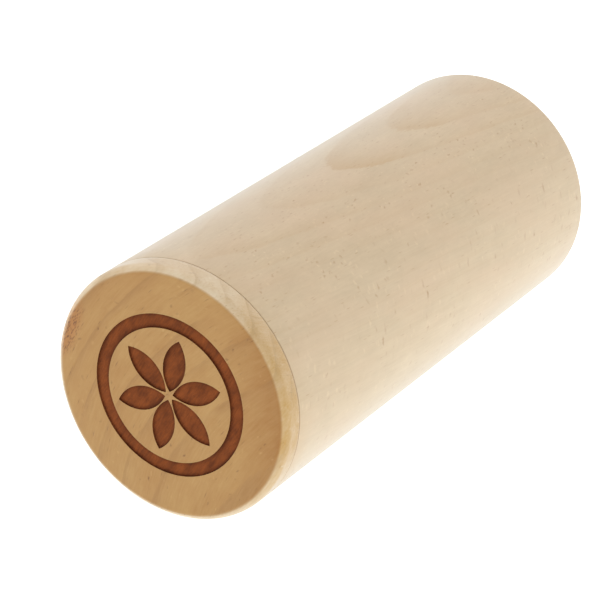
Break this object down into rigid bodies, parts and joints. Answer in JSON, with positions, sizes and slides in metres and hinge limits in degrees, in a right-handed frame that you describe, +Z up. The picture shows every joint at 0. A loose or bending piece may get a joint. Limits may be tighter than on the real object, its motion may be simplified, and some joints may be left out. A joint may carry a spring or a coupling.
{
  "type": "cylinder shaker",
  "caption": "Turned wooden cylinder shaker: a blind-bored body closed by a glued-in end cap, with loose steel shot that runs along the chamber when it is shaken.",
  "frame": {"origin": "on the surface that the shaker lies on, under the middle of its length", "axes": "+Y along the cylinder from the capped end to the blind end, +Z up, +X across"},
  "size_m": [0.059, 0.14, 0.059],
  "materials": {
    "body_wood": "satin",
    "cap_wood": "satin",
    "shot_steel": "polished"
  },
  "bodies": {
    "shaker_body": {"shell": "body_wood", "front_cap": "cap_wood"},
    "shot_lane1_ball01": {"shot_lane1_ball01": "shot_steel"},
    "shot_lane1_ball02": {"shot_lane1_ball02": "shot_steel"},
    "shot_lane1_ball03": {"shot_lane1_ball03": "shot_steel"},
    "shot_lane1_ball04": {"shot_lane1_ball04": "shot_steel"},
    "shot_lane1_ball05": {"shot_lane1_ball05": "shot_steel"},
    "shot_lane1_ball06": {"shot_lane1_ball06": "shot_steel"},
    "shot_lane1_ball07": {"shot_lane1_ball07": "shot_steel"},
    "shot_lane1_ball08": {"shot_lane1_ball08": "shot_steel"},
    "shot_lane1_ball09": {"shot_lane1_ball09": "shot_steel"},
    "shot_lane1_ball10": {"shot_lane1_ball10": "shot_steel"},
    "shot_lane1_ball11": {"shot_lane1_ball11": "shot_steel"},
    "shot_lane2_ball01": {"shot_lane2_ball01": "shot_steel"},
    "shot_lane2_ball02": {"shot_lane2_ball02": "shot_steel"},
    "shot_lane2_ball03": {"shot_lane2_ball03": "shot_steel"},
    "shot_lane2_ball04": {"shot_lane2_ball04": "shot_steel"},
    "shot_lane2_ball05": {"shot_lane2_ball05": "shot_steel"},
    "shot_lane2_ball06": {"shot_lane2_ball06": "shot_steel"},
    "shot_lane2_ball07": {"shot_lane2_ball07": "shot_steel"},
    "shot_lane2_ball08": {"shot_lane2_ball08": "shot_steel"},
    "shot_lane2_ball09": {"shot_lane2_ball09": "shot_steel"},
    "shot_lane2_ball10": {"shot_lane2_ball10": "shot_steel"},
    "shot_lane2_ball11": {"shot_lane2_ball11": "shot_steel"},
    "shot_lane3_ball01": {"shot_lane3_ball01": "shot_steel"},
    "shot_lane3_ball02": {"shot_lane3_ball02": "shot_steel"},
    "shot_lane3_ball03": {"shot_lane3_ball03": "shot_steel"},
    "shot_lane3_ball04": {"shot_lane3_ball04": "shot_steel"},
    "shot_lane3_ball05": {"shot_lane3_ball05": "shot_steel"},
    "shot_lane3_ball06": {"shot_lane3_ball06": "shot_steel"},
    "shot_lane3_ball07": {"shot_lane3_ball07": "shot_steel"},
    "shot_lane3_ball08": {"shot_lane3_ball08": "shot_steel"},
    "shot_lane3_ball09": {"shot_lane3_ball09": "shot_steel"},
    "shot_lane3_ball10": {"shot_lane3_ball10": "shot_steel"},
    "shot_lane3_ball11": {"shot_lane3_ball11": "shot_steel"},
    "shot_lane4_ball01": {"shot_lane4_ball01": "shot_steel"},
    "shot_lane4_ball02": {"shot_lane4_ball02": "shot_steel"},
    "shot_lane4_ball03": {"shot_lane4_ball03": "shot_steel"},
    "shot_lane4_ball04": {"shot_lane4_ball04": "shot_steel"},
    "shot_lane4_ball05": {"shot_lane4_ball05": "shot_steel"},
    "shot_lane4_ball06": {"shot_lane4_ball06": "shot_steel"},
    "shot_lane4_ball07": {"shot_lane4_ball07": "shot_steel"},
    "shot_lane4_ball08": {"shot_lane4_ball08": "shot_steel"},
    "shot_lane4_ball09": {"shot_lane4_ball09": "shot_steel"},
    "shot_lane4_ball10": {"shot_lane4_ball10": "shot_steel"},
    "shot_lane4_ball11": {"shot_lane4_ball11": "shot_steel"},
    "shot_lane5_ball01": {"shot_lane5_ball01": "shot_steel"},
    "shot_lane5_ball02": {"shot_lane5_ball02": "shot_steel"},
    "shot_lane5_ball03": {"shot_lane5_ball03": "shot_steel"},
    "shot_lane5_ball04": {"shot_lane5_ball04": "shot_steel"},
    "shot_lane5_ball05": {"shot_lane5_ball05": "shot_steel"},
    "shot_lane5_ball06": {"shot_lane5_ball06": "shot_steel"},
    "shot_lane5_ball07": {"shot_lane5_ball07": "shot_steel"},
    "shot_lane5_ball08": {"shot_lane5_ball08": "shot_steel"},
    "shot_lane5_ball09": {"shot_lane5_ball09": "shot_steel"},
    "shot_lane5_ball10": {"shot_lane5_ball10": "shot_steel"},
    "shot_lane5_ball11": {"shot_lane5_ball11": "shot_steel"}
  },
  "joints": [
    {"name": "lane1_ball01_run", "type": "slide", "parent": "shaker_body", "child": "shot_lane1_ball01", "axis": [0, 1, 0], "range_m": [-0.0247, 0.0367]},
    {"name": "lane1_ball02_run", "type": "slide", "parent": "shaker_body", "child": "shot_lane1_ball02", "axis": [0, 1, 0], "range_m": [-0.0247, 0.0367]},
    {"name": "lane1_ball03_run", "type": "slide", "parent": "shaker_body", "child": "shot_lane1_ball03", "axis": [0, 1, 0], "range_m": [-0.0247, 0.0367]},
    {"name": "lane1_ball04_run", "type": "slide", "parent": "shaker_body", "child": "shot_lane1_ball04", "axis": [0, 1, 0], "range_m": [-0.0247, 0.0367]},
    {"name": "lane1_ball05_run", "type": "slide", "parent": "shaker_body", "child": "shot_lane1_ball05", "axis": [0, 1, 0], "range_m": [-0.0247, 0.0367]},
    {"name": "lane1_ball06_run", "type": "slide", "parent": "shaker_body", "child": "shot_lane1_ball06", "axis": [0, 1, 0], "range_m": [-0.0247, 0.0367]},
    {"name": "lane1_ball07_run", "type": "slide", "parent": "shaker_body", "child": "shot_lane1_ball07", "axis": [0, 1, 0], "range_m": [-0.0247, 0.0367]},
    {"name": "lane1_ball08_run", "type": "slide", "parent": "shaker_body", "child": "shot_lane1_ball08", "axis": [0, 1, 0], "range_m": [-0.0247, 0.0367]},
    {"name": "lane1_ball09_run", "type": "slide", "parent": "shaker_body", "child": "shot_lane1_ball09", "axis": [0, 1, 0], "range_m": [-0.0247, 0.0367]},
    {"name": "lane1_ball10_run", "type": "slide", "parent": "shaker_body", "child": "shot_lane1_ball10", "axis": [0, 1, 0], "range_m": [-0.0247, 0.0367]},
    {"name": "lane1_ball11_run", "type": "slide", "parent": "shaker_body", "child": "shot_lane1_ball11", "axis": [0, 1, 0], "range_m": [-0.0247, 0.0367]},
    {"name": "lane2_ball01_run", "type": "slide", "parent": "shaker_body", "child": "shot_lane2_ball01", "axis": [0, 1, 0], "range_m": [-0.0397, 0.0217]},
    {"name": "lane2_ball02_run", "type": "slide", "parent": "shaker_body", "child": "shot_lane2_ball02", "axis": [0, 1, 0], "range_m": [-0.0397, 0.0217]},
    {"name": "lane2_ball03_run", "type": "slide", "parent": "shaker_body", "child": "shot_lane2_ball03", "axis": [0, 1, 0], "range_m": [-0.0397, 0.0217]},
    {"name": "lane2_ball04_run", "type": "slide", "parent": "shaker_body", "child": "shot_lane2_ball04", "axis": [0, 1, 0], "range_m": [-0.0397, 0.0217]},
    {"name": "lane2_ball05_run", "type": "slide", "parent": "shaker_body", "child": "shot_lane2_ball05", "axis": [0, 1, 0], "range_m": [-0.0397, 0.0217]},
    {"name": "lane2_ball06_run", "type": "slide", "parent": "shaker_body", "child": "shot_lane2_ball06", "axis": [0, 1, 0], "range_m": [-0.0397, 0.0217]},
    {"name": "lane2_ball07_run", "type": "slide", "parent": "shaker_body", "child": "shot_lane2_ball07", "axis": [0, 1, 0], "range_m": [-0.0397, 0.0217]},
    {"name": "lane2_ball08_run", "type": "slide", "parent": "shaker_body", "child": "shot_lane2_ball08", "axis": [0, 1, 0], "range_m": [-0.0397, 0.0217]},
    {"name": "lane2_ball09_run", "type": "slide", "parent": "shaker_body", "child": "shot_lane2_ball09", "axis": [0, 1, 0], "range_m": [-0.0397, 0.0217]},
    {"name": "lane2_ball10_run", "type": "slide", "parent": "shaker_body", "child": "shot_lane2_ball10", "axis": [0, 1, 0], "range_m": [-0.0397, 0.0217]},
    {"name": "lane2_ball11_run", "type": "slide", "parent": "shaker_body", "child": "shot_lane2_ball11", "axis": [0, 1, 0], "range_m": [-0.0397, 0.0217]},
    {"name": "lane3_ball01_run", "type": "slide", "parent": "shaker_body", "child": "shot_lane3_ball01", "axis": [0, 1, 0], "range_m": [-0.0317, 0.0297]},
    {"name": "lane3_ball02_run", "type": "slide", "parent": "shaker_body", "child": "shot_lane3_ball02", "axis": [0, 1, 0], "range_m": [-0.0317, 0.0297]},
    {"name": "lane3_ball03_run", "type": "slide", "parent": "shaker_body", "child": "shot_lane3_ball03", "axis": [0, 1, 0], "range_m": [-0.0317, 0.0297]},
    {"name": "lane3_ball04_run", "type": "slide", "parent": "shaker_body", "child": "shot_lane3_ball04", "axis": [0, 1, 0], "range_m": [-0.0317, 0.0297]},
    {"name": "lane3_ball05_run", "type": "slide", "parent": "shaker_body", "child": "shot_lane3_ball05", "axis": [0, 1, 0], "range_m": [-0.0317, 0.0297]},
    {"name": "lane3_ball06_run", "type": "slide", "parent": "shaker_body", "child": "shot_lane3_ball06", "axis": [0, 1, 0], "range_m": [-0.0317, 0.0297]},
    {"name": "lane3_ball07_run", "type": "slide", "parent": "shaker_body", "child": "shot_lane3_ball07", "axis": [0, 1, 0], "range_m": [-0.0317, 0.0297]},
    {"name": "lane3_ball08_run", "type": "slide", "parent": "shaker_body", "child": "shot_lane3_ball08", "axis": [0, 1, 0], "range_m": [-0.0317, 0.0297]},
    {"name": "lane3_ball09_run", "type": "slide", "parent": "shaker_body", "child": "shot_lane3_ball09", "axis": [0, 1, 0], "range_m": [-0.0317, 0.0297]},
    {"name": "lane3_ball10_run", "type": "slide", "parent": "shaker_body", "child": "shot_lane3_ball10", "axis": [0, 1, 0], "range_m": [-0.0317, 0.0297]},
    {"name": "lane3_ball11_run", "type": "slide", "parent": "shaker_body", "child": "shot_lane3_ball11", "axis": [0, 1, 0], "range_m": [-0.0317, 0.0297]},
    {"name": "lane4_ball01_run", "type": "slide", "parent": "shaker_body", "child": "shot_lane4_ball01", "axis": [0, 1, 0], "range_m": [-0.0197, 0.0417]},
    {"name": "lane4_ball02_run", "type": "slide", "parent": "shaker_body", "child": "shot_lane4_ball02", "axis": [0, 1, 0], "range_m": [-0.0197, 0.0417]},
    {"name": "lane4_ball03_run", "type": "slide", "parent": "shaker_body", "child": "shot_lane4_ball03", "axis": [0, 1, 0], "range_m": [-0.0197, 0.0417]},
    {"name": "lane4_ball04_run", "type": "slide", "parent": "shaker_body", "child": "shot_lane4_ball04", "axis": [0, 1, 0], "range_m": [-0.0197, 0.0417]},
    {"name": "lane4_ball05_run", "type": "slide", "parent": "shaker_body", "child": "shot_lane4_ball05", "axis": [0, 1, 0], "range_m": [-0.0197, 0.0417]},
    {"name": "lane4_ball06_run", "type": "slide", "parent": "shaker_body", "child": "shot_lane4_ball06", "axis": [0, 1, 0], "range_m": [-0.0197, 0.0417]},
    {"name": "lane4_ball07_run", "type": "slide", "parent": "shaker_body", "child": "shot_lane4_ball07", "axis": [0, 1, 0], "range_m": [-0.0197, 0.0417]},
    {"name": "lane4_ball08_run", "type": "slide", "parent": "shaker_body", "child": "shot_lane4_ball08", "axis": [0, 1, 0], "range_m": [-0.0197, 0.0417]},
    {"name": "lane4_ball09_run", "type": "slide", "parent": "shaker_body", "child": "shot_lane4_ball09", "axis": [0, 1, 0], "range_m": [-0.0197, 0.0417]},
    {"name": "lane4_ball10_run", "type": "slide", "parent": "shaker_body", "child": "shot_lane4_ball10", "axis": [0, 1, 0], "range_m": [-0.0197, 0.0417]},
    {"name": "lane4_ball11_run", "type": "slide", "parent": "shaker_body", "child": "shot_lane4_ball11", "axis": [0, 1, 0], "range_m": [-0.0197, 0.0417]},
    {"name": "lane5_ball01_run", "type": "slide", "parent": "shaker_body", "child": "shot_lane5_ball01", "axis": [0, 1, 0], "range_m": [-0.0357, 0.0257]},
    {"name": "lane5_ball02_run", "type": "slide", "parent": "shaker_body", "child": "shot_lane5_ball02", "axis": [0, 1, 0], "range_m": [-0.0357, 0.0257]},
    {"name": "lane5_ball03_run", "type": "slide", "parent": "shaker_body", "child": "shot_lane5_ball03", "axis": [0, 1, 0], "range_m": [-0.0357, 0.0257]},
    {"name": "lane5_ball04_run", "type": "slide", "parent": "shaker_body", "child": "shot_lane5_ball04", "axis": [0, 1, 0], "range_m": [-0.0357, 0.0257]},
    {"name": "lane5_ball05_run", "type": "slide", "parent": "shaker_body", "child": "shot_lane5_ball05", "axis": [0, 1, 0], "range_m": [-0.0357, 0.0257]},
    {"name": "lane5_ball06_run", "type": "slide", "parent": "shaker_body", "child": "shot_lane5_ball06", "axis": [0, 1, 0], "range_m": [-0.0357, 0.0257]},
    {"name": "lane5_ball07_run", "type": "slide", "parent": "shaker_body", "child": "shot_lane5_ball07", "axis": [0, 1, 0], "range_m": [-0.0357, 0.0257]},
    {"name": "lane5_ball08_run", "type": "slide", "parent": "shaker_body", "child": "shot_lane5_ball08", "axis": [0, 1, 0], "range_m": [-0.0357, 0.0257]},
    {"name": "lane5_ball09_run", "type": "slide", "parent": "shaker_body", "child": "shot_lane5_ball09", "axis": [0, 1, 0], "range_m": [-0.0357, 0.0257]},
    {"name": "lane5_ball10_run", "type": "slide", "parent": "shaker_body", "child": "shot_lane5_ball10", "axis": [0, 1, 0], "range_m": [-0.0357, 0.0257]},
    {"name": "lane5_ball11_run", "type": "slide", "parent": "shaker_body", "child": "shot_lane5_ball11", "axis": [0, 1, 0], "range_m": [-0.0357, 0.0257]}
  ],
  "couplings": [
    {"joint": "lane1_ball02_run", "follows": "lane1_ball01_run", "ratio": 1},
    {"joint": "lane1_ball03_run", "follows": "lane1_ball01_run", "ratio": 1},
    {"joint": "lane1_ball04_run", "follows": "lane1_ball01_run", "ratio": 1},
    {"joint": "lane1_ball05_run", "follows": "lane1_ball01_run", "ratio": 1},
    {"joint": "lane1_ball06_run", "follows": "lane1_ball01_run", "ratio": 1},
    {"joint": "lane1_ball07_run", "follows": "lane1_ball01_run", "ratio": 1},
    {"joint": "lane1_ball08_run", "follows": "lane1_ball01_run", "ratio": 1},
    {"joint": "lane1_ball09_run", "follows": "lane1_ball01_run", "ratio": 1},
    {"joint": "lane1_ball10_run", "follows": "lane1_ball01_run", "ratio": 1},
    {"joint": "lane1_ball11_run", "follows": "lane1_ball01_run", "ratio": 1},
    {"joint": "lane2_ball02_run", "follows": "lane2_ball01_run", "ratio": 1},
    {"joint": "lane2_ball03_run", "follows": "lane2_ball01_run", "ratio": 1},
    {"joint": "lane2_ball04_run", "follows": "lane2_ball01_run", "ratio": 1},
    {"joint": "lane2_ball05_run", "follows": "lane2_ball01_run", "ratio": 1},
    {"joint": "lane2_ball06_run", "follows": "lane2_ball01_run", "ratio": 1},
    {"joint": "lane2_ball07_run", "follows": "lane2_ball01_run", "ratio": 1},
    {"joint": "lane2_ball08_run", "follows": "lane2_ball01_run", "ratio": 1},
    {"joint": "lane2_ball09_run", "follows": "lane2_ball01_run", "ratio": 1},
    {"joint": "lane2_ball10_run", "follows": "lane2_ball01_run", "ratio": 1},
    {"joint": "lane2_ball11_run", "follows": "lane2_ball01_run", "ratio": 1},
    {"joint": "lane3_ball02_run", "follows": "lane3_ball01_run", "ratio": 1},
    {"joint": "lane3_ball03_run", "follows": "lane3_ball01_run", "ratio": 1},
    {"joint": "lane3_ball04_run", "follows": "lane3_ball01_run", "ratio": 1},
    {"joint": "lane3_ball05_run", "follows": "lane3_ball01_run", "ratio": 1},
    {"joint": "lane3_ball06_run", "follows": "lane3_ball01_run", "ratio": 1},
    {"joint": "lane3_ball07_run", "follows": "lane3_ball01_run", "ratio": 1},
    {"joint": "lane3_ball08_run", "follows": "lane3_ball01_run", "ratio": 1},
    {"joint": "lane3_ball09_run", "follows": "lane3_ball01_run", "ratio": 1},
    {"joint": "lane3_ball10_run", "follows": "lane3_ball01_run", "ratio": 1},
    {"joint": "lane3_ball11_run", "follows": "lane3_ball01_run", "ratio": 1},
    {"joint": "lane4_ball02_run", "follows": "lane4_ball01_run", "ratio": 1},
    {"joint": "lane4_ball03_run", "follows": "lane4_ball01_run", "ratio": 1},
    {"joint": "lane4_ball04_run", "follows": "lane4_ball01_run", "ratio": 1},
    {"joint": "lane4_ball05_run", "follows": "lane4_ball01_run", "ratio": 1},
    {"joint": "lane4_ball06_run", "follows": "lane4_ball01_run", "ratio": 1},
    {"joint": "lane4_ball07_run", "follows": "lane4_ball01_run", "ratio": 1},
    {"joint": "lane4_ball08_run", "follows": "lane4_ball01_run", "ratio": 1},
    {"joint": "lane4_ball09_run", "follows": "lane4_ball01_run", "ratio": 1},
    {"joint": "lane4_ball10_run", "follows": "lane4_ball01_run", "ratio": 1},
    {"joint": "lane4_ball11_run", "follows": "lane4_ball01_run", "ratio": 1},
    {"joint": "lane5_ball02_run", "follows": "lane5_ball01_run", "ratio": 1},
    {"joint": "lane5_ball03_run", "follows": "lane5_ball01_run", "ratio": 1},
    {"joint": "lane5_ball04_run", "follows": "lane5_ball01_run", "ratio": 1},
    {"joint": "lane5_ball05_run", "follows": "lane5_ball01_run", "ratio": 1},
    {"joint": "lane5_ball06_run", "follows": "lane5_ball01_run", "ratio": 1},
    {"joint": "lane5_ball07_run", "follows": "lane5_ball01_run", "ratio": 1},
    {"joint": "lane5_ball08_run", "follows": "lane5_ball01_run", "ratio": 1},
    {"joint": "lane5_ball09_run", "follows": "lane5_ball01_run", "ratio": 1},
    {"joint": "lane5_ball10_run", "follows": "lane5_ball01_run", "ratio": 1},
    {"joint": "lane5_ball11_run", "follows": "lane5_ball01_run", "ratio": 1}
  ]
}
